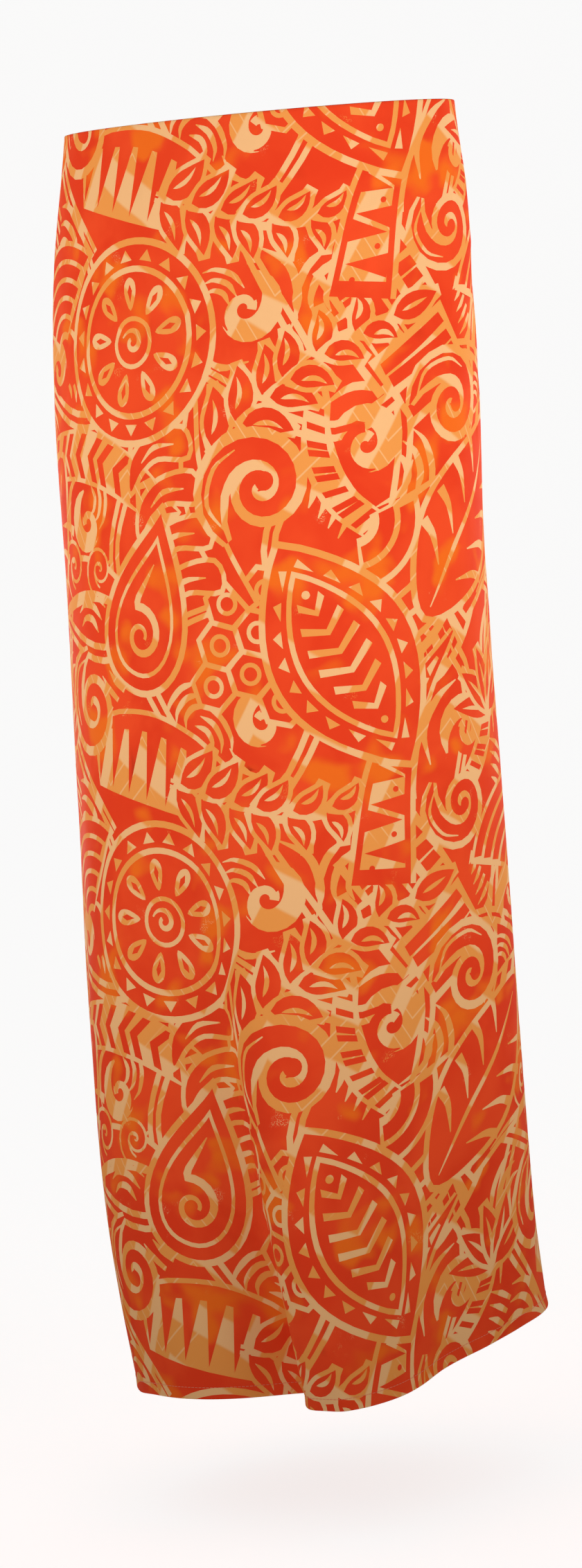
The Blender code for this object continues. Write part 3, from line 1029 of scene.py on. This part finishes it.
def fold_cuts(level, radius, inward):
    """Heights where the cloth bends round a folded edge."""
    quarter = radius * math.pi / 2
    return [level + quarter * part for part in (-1.0, -0.5, 0.0, 0.5, 1.0)] + [level + inward * 3 * quarter]


def finish_shell(mesh, name, places, thickness):
    """The sheet bent to its places, given its thickness on the wearer's side and its two materials."""
    flat = np.empty(len(mesh.vertices) * 3)
    mesh.vertices.foreach_get("co", flat)
    flat = flat.reshape(-1, 3)[:, :2]
    uv = mesh.uv_layers.new(name="cloth")
    corner = np.empty(len(mesh.loops), int)
    mesh.loops.foreach_get("vertex_index", corner)
    uv.data.foreach_set("uv", flat[corner].ravel())
    mesh.vertices.foreach_set("co", places(flat).ravel())
    mesh.shade_smooth()
    mesh.update()
    for material in (FACE, REVERSE):
        mesh.materials.append(bpy.data.materials[material])
    piece = bpy.data.objects.new(name, mesh)
    bpy.context.scene.collection.objects.link(piece)
    thicken = piece.modifiers.new("thickness", "SOLIDIFY")
    thicken.thickness = thickness
    thicken.offset = -1.0
    thicken.use_rim = True
    thicken.material_offset = 1
    return plain_mesh(piece)


def plain_mesh(piece):
    """The piece with its modifiers worked into its mesh."""
    shown = piece.evaluated_get(bpy.context.evaluated_depsgraph_get())
    mesh = bpy.data.meshes.new_from_object(shown)
    mesh.name = piece.name
    piece.modifiers.clear()
    piece.data = mesh
    return piece


# Materials


FACTOR_OUTPUT = 2
OBJECT_OUTPUT = 3


class Socket:
    """One output of a node, with Python's operators for shader maths."""

    def __init__(self, material, output):
        self.material = material
        self.output = output

    def maths(self, operation, *values):
        return self.material.node("ShaderNodeMath", {"operation": operation}, *values)

    def __add__(self, other):
        return self.maths("ADD", self, other)

    def __sub__(self, other):
        return self.maths("SUBTRACT", self, other)

    def __rsub__(self, other):
        return self.maths("SUBTRACT", other, self)

    def __mul__(self, other):
        return self.maths("MULTIPLY", self, other)

    __radd__ = __add__
    __rmul__ = __mul__

    def wave(self):
        """The distance to the nearest whole number, from 0 to 0.5."""
        return self.maths("PINGPONG", self, 0.5)

    def step(self, low, high):
        """0 below low and 1 above high, soft between."""
        settings = {"interpolation_type": "SMOOTHSTEP", "clamp": True}
        return self.material.node("ShaderNodeMapRange", settings, self, low, high, 0.0, 1.0)


class Finish:
    """A node material under construction."""

    def __init__(self, name):
        self.material = bpy.data.materials.new(name)
        self.material.use_nodes = True
        self.tree = self.material.node_tree
        self.shader = self.tree.nodes["Principled BSDF"]

    def node(self, kind, settings, *values, output=0):
        """Adds a node, sets it up, and feeds its sockets in order. None leaves a socket as it is."""
        made = self.tree.nodes.new(kind)
        for key, value in settings.items():
            setattr(made, key, value)
        sockets = [socket for socket in made.inputs if socket.enabled]
        for socket, value in zip(sockets, values):
            if isinstance(value, Socket):
                self.tree.links.new(value.output, socket)
            elif value is not None:
                socket.default_value = value
        outputs = [socket for socket in made.outputs if socket.enabled]
        return Socket(self, outputs[output])

    def mix(self, share, low, high):
        """A colour between two."""
        return self.node("ShaderNodeMix", {"data_type": "RGBA"}, share, low, high)

    def noise(self, place, scale, detail=2.0, rough=0.5, warp=0.0):
        return self.node("ShaderNodeTexNoise", {}, place, scale, detail, rough, None, warp)

    def attribute(self, name):
        return self.node("ShaderNodeAttribute", {"attribute_name": name}, output=FACTOR_OUTPUT)

    def feed(self, name, value):
        if isinstance(value, Socket):
            self.tree.links.new(value.output, self.shader.inputs[name])
        else:
            self.shader.inputs[name].default_value = value


def straight(red, green, blue):
    """A colour as a screen shows it, made linear."""
    shares = [shown / 255 for shown in (red, green, blue)]
    return (*(((share + 0.055) / 1.055) ** 2.4 for share in shares), 1.0)


RED = straight(248, 79, 38)
RED_DEEP = straight(238, 64, 31)
ORANGE = straight(250, 113, 30)
AMBER = straight(246, 156, 76)
STRAW = straight(250, 190, 130)
PALE_REVERSE = straight(250, 214, 176)
THREAD_COLOUR = straight(240, 124, 86)
THREAD_LIGHT = (1.0, 0.8, 0.6, 1.0)
FLOOR_COLOUR = (0.88, 0.87, 0.86, 1.0)
WHITE = (1.0, 1.0, 1.0, 1.0)

# Threads to the metre
WARP_THREADS = 1500.0
WEFT_THREADS = 1350.0


def print_finish(name, fade):
    """The printed cloth. A fade of 0 is its face, and near 1 its pale reverse."""
    finish = Finish(name)
    place = finish.node("ShaderNodeUVMap", {"uv_map": "cloth"})
    flat = finish.node("ShaderNodeSeparateXYZ", {}, place)
    across = Socket(finish, flat.output.node.outputs[0])
    up = Socket(finish, flat.output.node.outputs[1])
    ink = finish.attribute("ink")

    drift = finish.noise(place, 9.0, 2.0, 0.5)
    slant = across * 0.55 + up + drift * 0.02
    zigzag = (across * 7.5).wave() * 0.16
    bands = ((slant + zigzag) * 17.0).wave().step(0.25, 0.31)
    fine = ((up - across * 0.35 + (across * 12.0).wave() * 0.10) * 62.0).wave().step(0.43, 0.47)
    patch = finish.noise(place, 6.5, 1.0).step(0.47, 0.53)
    ground = finish.mix(bands, AMBER, STRAW)
    ground = finish.mix(fine * patch * 0.75, ground, STRAW)

    wash = finish.noise(place, 13.0, 3.0, 0.55, 0.4)
    deep = finish.mix(wash.step(0.35, 0.65), RED_DEEP, RED)
    glow = finish.noise(place, 21.0, 2.0, 0.5, 0.2).step(0.55, 0.68)
    red = finish.mix(glow * 0.92, deep, ORANGE)

    dry = finish.noise(place, 900.0, 3.0, 0.7).step(0.52, 0.58)
    where = finish.noise(place, 30.0, 3.0, 0.6).step(0.64, 0.74)
    worn = dry * where
    colour = finish.mix(ink * (1 - worn * 0.75), ground, red)
    if fade:
        colour = finish.mix(fade, colour, PALE_REVERSE)
    finish.feed("Base Color", colour)

    warp = (across * WARP_THREADS).wave()
    weft = (up * WEFT_THREADS).wave()
    slub = finish.noise(place, 420.0, 2.0)
    height = warp + weft + slub * 0.6
    bump = finish.node("ShaderNodeBump", {}, 0.25, 0.0002, None, height)
    finish.feed("Normal", bump)
    finish.feed("Roughness", slub * 0.12 + 0.66)
    finish.feed("Sheen Weight", 0.02)
    finish.feed("Sheen Tint", straight(255, 170, 110))
    finish.feed("Sheen Roughness", 0.5)
    finish.feed("Specular IOR Level", 0.02)
    return finish.material


def plain_finish(name, colour, roughness):
    finish = Finish(name)
    place = finish.node("ShaderNodeTexCoord", {}, output=OBJECT_OUTPUT)
    tone = finish.noise(place, 3000.0, 2.0)
    finish.feed("Base Color", finish.mix(tone * 0.2, colour, THREAD_LIGHT))
    finish.feed("Roughness", roughness)
    return finish.material


# Settings


FLOOR_DROP = 0.095


class ClothSettings(bpy.types.PropertyGroup):
    thickness: FloatProperty(
        name="Cloth thickness", description="Thickness of the cloth", default=0.0005, unit="LENGTH"
    )
    reverse_fade: FloatProperty(
        name="Reverse fade", description="How much paler the reverse is", default=0.38, subtype="FACTOR"
    )


class StitchSettings(bpy.types.PropertyGroup):
    above_hem: FloatProperty(
        name="Height", description="Height of the stitches above the hem", default=0.0086, unit="LENGTH"
    )
    length: FloatProperty(name="Length", description="Length of one stitch", default=0.0022, unit="LENGTH")
    pitch: FloatProperty(name="Pitch", description="From stitch to stitch", default=0.0030, unit="LENGTH")
    thread: FloatProperty(name="Thread", description="Thickness of the thread", default=0.0004, unit="LENGTH")
    colour: FloatVectorProperty(
        name="Colour", description="Colour of the thread", default=THREAD_COLOUR, size=4, subtype="COLOR"
    )


class StageSettings(bpy.types.PropertyGroup):
    floor_level: FloatProperty(
        name="Floor", description="Height of the floor", default=HEM_LEVEL - FLOOR_DROP, unit="LENGTH"
    )
    floor_glow: FloatProperty(name="Floor glow", description="Light that the floor gives off", default=0.64)
    lens: FloatProperty(name="Lens", description="Focal length in millimetres", default=105.49)
    roll: FloatProperty(
        name="Roll", description="The camera's roll", default=math.radians(-4.41), subtype="ANGLE"
    )
    room_light: FloatProperty(name="Room light", description="Strength of the even light", default=0.355)


WRAP = Wrap()
REPEAT = divide_repeat()


def add_cloth(name, left, right, settings):
    cuts = fold_cuts(0.0, HEM_FOLD_RADIUS, 1) + fold_cuts(WORN_LENGTH, WAIST_FOLD_RADIUS, -1)
    cuts += HEM_LEAN_CUTS
    mesh = flat_sheet(REPEAT, left, right, -HEM_TURN, WORN_LENGTH + WAIST_TURN, cuts)
    return finish_shell(mesh, name, lambda flat: wind(WRAP, flat), settings.thickness)


class LAVALAVA_OT_finishes(bpy.types.Operator):
    """Makes the materials of the printed cloth's face and reverse"""

    bl_idname = "lavalava.finishes"
    bl_label = "Finishes"

    def execute(self, context):
        print_finish(FACE, 0.0)
        print_finish(REVERSE, context.scene.lavalava_cloth.reverse_fade)
        return {"FINISHED"}


class LAVALAVA_OT_outer_turn(bpy.types.Operator):
    """Makes the outer turn of the cloth, from its free edge at the back once round"""

    bl_idname = "lavalava.outer_turn"
    bl_label = "Outer turn"

    def execute(self, context):
        piece = add_cloth("outer_turn", 0.0, PIECE_SPLIT, context.scene.lavalava_cloth)
        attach(piece, BODY)
        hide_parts("outer_wrap", "outer_hem")
        return {"FINISHED"}


class LAVALAVA_OT_under_lap(bpy.types.Operator):
    """Makes the same cloth where it goes on under the outer turn"""

    bl_idname = "lavalava.under_lap"
    bl_label = "Under lap"

    def execute(self, context):
        piece = add_cloth("under_turn", PIECE_SPLIT, CLOTH_WIDTH, context.scene.lavalava_cloth)
        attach(piece, BODY)
        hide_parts("under_lap", "under_hem")
        return {"FINISHED"}


def tuck_leg(across):
    return TUCK_DEPTH + (TUCK_LEAST_DEPTH - TUCK_DEPTH) * ease(across)


def tuck_place(flat):
    """The corner folded over the waist edge: height 0 is its rim outside, and it then hangs inside."""
    places, down = flat.T
    across = (places - TUCK_START) / TUCK_WIDTH
    longest = TUCK_ARCH + TUCK_DEPTH
    leg = tuck_leg(across)
    over = np.clip(down / TUCK_ARCH, 0.0, 1.0)
    drop_part = np.clip((down - TUCK_ARCH) / (longest - TUCK_ARCH), 0.0, 1.0)
    rise = TUCK_RIM_GAP + (TUCK_RISE - TUCK_RIM_GAP) * np.sin(math.pi * over) ** 0.5
    rise = np.where(over >= 1.0, 0.0, rise * (1.0 - over ** 6))
    ripple = TUCK_RIPPLE * drop_part * (1.0 - np.cos(2.0 * math.pi * TUCK_RIPPLES * across))
    points = WRAP.at(places, WORN_LENGTH - drop_part * leg, TUCK_INSET * over + ripple)
    points[:, 2] += rise
    return points


class LAVALAVA_OT_tucked_corner(bpy.types.Operator):
    """Makes the corner that is folded over the waist edge and tucked inside it"""

    bl_idname = "lavalava.tucked_corner"
    bl_label = "Tucked corner"

    def execute(self, context):
        length = TUCK_ARCH + TUCK_DEPTH
        cuts = [TUCK_ARCH * k / TUCK_CUTS for k in range(1, TUCK_CUTS + 1)]
        mesh = flat_sheet(REPEAT, TUCK_START, TUCK_START + TUCK_WIDTH, 0.0, length, cuts)
        thickness = context.scene.lavalava_cloth.thickness
        piece = finish_shell(mesh, "tucked_in_corner", tuck_place, thickness)
        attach(piece, BODY)
        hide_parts("tucked_corner")
        return {"FINISHED"}


SEAM_STEP = 0.002
THREAD_SIDES = 6
THREAD_PROUD = 0.2
SEAMS = (
    ("hem_stitches_outer", SEAM_STEP, PIECE_SPLIT),
    ("hem_stitches_under", PIECE_SPLIT + SEAM_STEP, CLOTH_WIDTH - SEAM_STEP),
)


def stitch_line(name, left, right, above_hem, inset):
    """A path along the hem, moved in from the cloth's outer face by an inset."""
    places = np.arange(left, right, SEAM_STEP)
    points = WRAP.at(places, np.full(len(places), above_hem), np.full(len(places), inset))
    curve = bpy.data.curves.new(name, "CURVE")
    curve.dimensions = "3D"
    spline = curve.splines.new("POLY")
    spline.points.add(len(points) - 1)
    spline.points.foreach_set("co", np.column_stack([points, np.ones(len(points))]).ravel())
    piece = bpy.data.objects.new(name, curve)
    bpy.context.scene.collection.objects.link(piece)
    return piece


def stitch_tree(material):
    """Geometry Nodes: short rounded stitches at even steps along a path."""
    tree = bpy.data.node_groups.new("stitches", "GeometryNodeTree")
    tree.interface.new_socket("Path", in_out="INPUT", socket_type="NodeSocketGeometry")
    for title in ("Length", "Pitch", "Thread"):
        tree.interface.new_socket(title, in_out="INPUT", socket_type="NodeSocketFloat")
    tree.interface.new_socket("Stitches", in_out="OUTPUT", socket_type="NodeSocketGeometry")
    start = tree.nodes.new("NodeGroupInput")
    end = tree.nodes.new("NodeGroupOutput")
    spread = tree.nodes.new("GeometryNodeCurveToPoints")
    spread.mode = "LENGTH"
    capsule = tree.nodes.new("GeometryNodeMeshCylinder")
    capsule.inputs["Vertices"].default_value = THREAD_SIDES
    capsule.inputs["Side Segments"].default_value = 2
    half = tree.nodes.new("ShaderNodeMath")
    half.operation = "MULTIPLY"
    half.inputs[1].default_value = 0.5
    place = tree.nodes.new("GeometryNodeInstanceOnPoints")
    real = tree.nodes.new("GeometryNodeRealizeInstances")
    finish = tree.nodes.new("GeometryNodeSetMaterial")
    finish.inputs["Material"].default_value = material
    for source, output, target, entry in (
        (start, "Path", spread, "Curve"),
        (start, "Pitch", spread, "Length"),
        (start, "Thread", half, 0),
        (half, 0, capsule, "Radius"),
        (start, "Length", capsule, "Depth"),
        (spread, "Points", place, "Points"),
        (capsule, "Mesh", place, "Instance"),
        (spread, "Rotation", place, "Rotation"),
        (place, "Instances", real, "Geometry"),
        (real, "Geometry", finish, "Geometry"),
        (finish, "Geometry", end, "Stitches"),
    ):
        tree.links.new(source.outputs[output], target.inputs[entry])
    return tree


def add_stitches(name, left, right, inset, settings, tree):
    path = stitch_line(name + "_path", left, right, settings.above_hem, inset)
    modifier = path.modifiers.new("stitches", "NODES")
    modifier.node_group = tree
    sizes = {"Length": settings.length, "Pitch": settings.pitch, "Thread": settings.thread}
    for item in tree.interface.items_tree:
        if item.name in sizes:
            modifier[item.identifier] = sizes[item.name]
    shown = path.evaluated_get(bpy.context.evaluated_depsgraph_get())
    mesh = bpy.data.meshes.new_from_object(shown)
    mesh.name = name
    path.modifiers.clear()
    bpy.data.objects.remove(path)
    mesh.shade_smooth()
    piece = bpy.data.objects.new(name, mesh)
    bpy.context.scene.collection.objects.link(piece)
    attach(piece, BODY)
    return piece


class LAVALAVA_OT_stitches(bpy.types.Operator):
    """Sews the turned-up hem with one line of short stitches, which show on both of its sides"""

    bl_idname = "lavalava.stitches"
    bl_label = "Hem stitches"

    def execute(self, context):
        settings = context.scene.lavalava_stitches
        material = plain_finish("thread", tuple(settings.colour), 0.6)
        tree = stitch_tree(material)
        proud = settings.thread * THREAD_PROUD
        inside = 2.0 * HEM_FOLD_RADIUS + proud
        for name, left, right in SEAMS:
            add_stitches(name, left, right, -proud, settings, tree)
            add_stitches(name + "_inside", left, right, inside, settings, tree)
        return {"FINISHED"}


class LAVALAVA_OT_stage(bpy.types.Operator):
    """Sets the pale floor, the lights and the camera"""

    bl_idname = "lavalava.stage"
    bl_label = "Stage"

    def execute(self, context):
        settings = context.scene.lavalava_stage
        add_floor(settings.floor_level, settings.floor_glow)
        add_lights(context.scene, settings.room_light)
        add_camera(context.scene, settings)
        return {"FINISHED"}


FLOOR_RADIUS = 9.0
FLOOR_BEND = 4.0
WALL_HEIGHT = 3.0
FLOOR_STEPS = 96


def add_floor(level, glow):
    """A wide pale floor that curves up into a wall all round."""
    profile = [(FLOOR_RADIUS, 0.0)]
    for angle in np.linspace(0.1, math.pi / 2, 14):
        out = FLOOR_BEND * math.sin(angle)
        profile.append((FLOOR_RADIUS + out, FLOOR_BEND - FLOOR_BEND * math.cos(angle)))
    profile.append((FLOOR_RADIUS + FLOOR_BEND, FLOOR_BEND + WALL_HEIGHT))
    shape = bmesh.new()
    rows = []
    for radius, height in profile:
        rows.append([
            shape.verts.new((radius * math.cos(turn), radius * math.sin(turn), level + height))
            for turn in np.linspace(0, 2 * math.pi, FLOOR_STEPS, endpoint=False)
        ])
    shape.faces.new(rows[0])
    for lower, upper in zip(rows[:-1], rows[1:]):
        for k in range(FLOOR_STEPS):
            shape.faces.new((lower[k - 1], lower[k], upper[k], upper[k - 1]))
    bmesh.ops.recalc_face_normals(shape, faces=shape.faces)
    mesh = bpy.data.meshes.new("floor")
    shape.to_mesh(mesh)
    shape.free()
    mesh.shade_smooth()
    finish = Finish("pale_floor")
    finish.feed("Base Color", FLOOR_COLOUR)
    finish.feed("Roughness", 0.9)
    finish.feed("Emission Color", WHITE)
    finish.feed("Emission Strength", glow)
    mesh.materials.append(finish.material)
    floor = bpy.data.objects.new("floor", mesh)
    bpy.context.scene.collection.objects.link(floor)
    floor.visible_diffuse = False
    floor.visible_glossy = False


# Lamps stand low round the cloth and point upwards, so that their light falls off towards the hem
Lamp = namedtuple("Lamp", "name bearing distance height power size")
LAMPS = (
    Lamp("key", 76.0, 1.35, -0.45, 3.9, 0.7),
    Lamp("fill", -22.0, 1.35, -0.45, 3.7, 0.7),
    Lamp("back left", 170.0, 1.35, -0.45, 2.95, 0.7),
    Lamp("back right", -120.0, 1.35, -0.45, 2.95, 0.7),
)
LAMP_AIM = (0.0, 0.0, 0.2)
LAMP_SPREAD = 100.0


def around_object(bearing, distance, height):
    """A place at a bearing from the front, counted towards the wearer's left."""
    angle = math.radians(bearing)
    return Vector((distance * math.sin(angle), -distance * math.cos(angle), height))


def add_lights(scene, room_light):
    for lamp in LAMPS:
        light = bpy.data.lights.new(lamp.name, "AREA")
        light.energy = lamp.power
        light.shape = "DISK"
        light.size = lamp.size
        light.spread = math.radians(LAMP_SPREAD)
        holder = bpy.data.objects.new(lamp.name, light)
        holder.location = around_object(lamp.bearing, lamp.distance, lamp.height)
        holder.rotation_euler = (Vector(LAMP_AIM) - holder.location).to_track_quat("-Z", "Y").to_euler()
        holder.visible_camera = False
        scene.collection.objects.link(holder)
    world = bpy.data.worlds.new("studio")
    world.use_nodes = True
    background = world.node_tree.nodes["Background"]
    background.inputs["Color"].default_value = WHITE
    background.inputs["Strength"].default_value = room_light
    scene.world = world
    scene.view_settings.view_transform = "Standard"


CAMERA_BEARING = 32.04
CAMERA_DISTANCE = 3.397
CAMERA_HEIGHT = -0.130
CAMERA_AIM_SIDE = -0.0138
CAMERA_AIM_HEIGHT = -0.4702
SENSOR_WIDTH = 36.0


def add_camera(scene, settings):
    data = bpy.data.cameras.new("camera")
    data.lens = settings.lens
    data.sensor_width = SENSOR_WIDTH
    camera = bpy.data.objects.new("camera", data)
    camera.location = around_object(CAMERA_BEARING, CAMERA_DISTANCE, CAMERA_HEIGHT)
    aim = around_object(CAMERA_BEARING + 90.0, CAMERA_AIM_SIDE, CAMERA_AIM_HEIGHT)
    look = (aim - camera.location).to_track_quat("-Z", "Y")
    camera.rotation_mode = "QUATERNION"
    camera.rotation_quaternion = look @ Quaternion((0.0, 0.0, 1.0), settings.roll)
    scene.collection.objects.link(camera)
    scene.camera = camera


class LAVALAVA_PT_panel(bpy.types.Panel):
    """Lists the pieces of the lavalava"""

    bl_idname = "LAVALAVA_PT_panel"
    bl_label = "Lavalava"
    bl_space_type = "VIEW_3D"
    bl_region_type = "UI"
    bl_category = "Lavalava"

    def draw(self, context):
        for group in ("lavalava_cloth", "lavalava_stitches", "lavalava_stage"):
            settings = getattr(context.scene, group)
            box = self.layout.box()
            for name in settings.__annotations__:
                box.prop(settings, name)
        for operator in STEPS:
            self.layout.operator(operator.bl_idname)


STEPS = (
    LAVALAVA_OT_finishes,
    LAVALAVA_OT_outer_turn,
    LAVALAVA_OT_under_lap,
    LAVALAVA_OT_tucked_corner,
    LAVALAVA_OT_stitches,
    LAVALAVA_OT_stage,
)
SETTINGS = {
    "lavalava_cloth": ClothSettings,
    "lavalava_stitches": StitchSettings,
    "lavalava_stage": StageSettings,
}


def register():
    for kind in (*SETTINGS.values(), *STEPS, LAVALAVA_PT_panel):
        bpy.utils.register_class(kind)
    for name, kind in SETTINGS.items():
        setattr(bpy.types.Scene, name, PointerProperty(type=kind))


def unregister():
    for name in SETTINGS:
        delattr(bpy.types.Scene, name)
    for kind in (LAVALAVA_PT_panel, *reversed(STEPS), *reversed(SETTINGS.values())):
        bpy.utils.unregister_class(kind)


def main():
    register()
    bpy.ops.lavalava.finishes()
    bpy.ops.lavalava.outer_turn()
    bpy.ops.lavalava.under_lap()
    bpy.ops.lavalava.tucked_corner()
    bpy.ops.lavalava.stitches()
    bpy.ops.lavalava.stage()


if __name__ == "__main__":
    main()
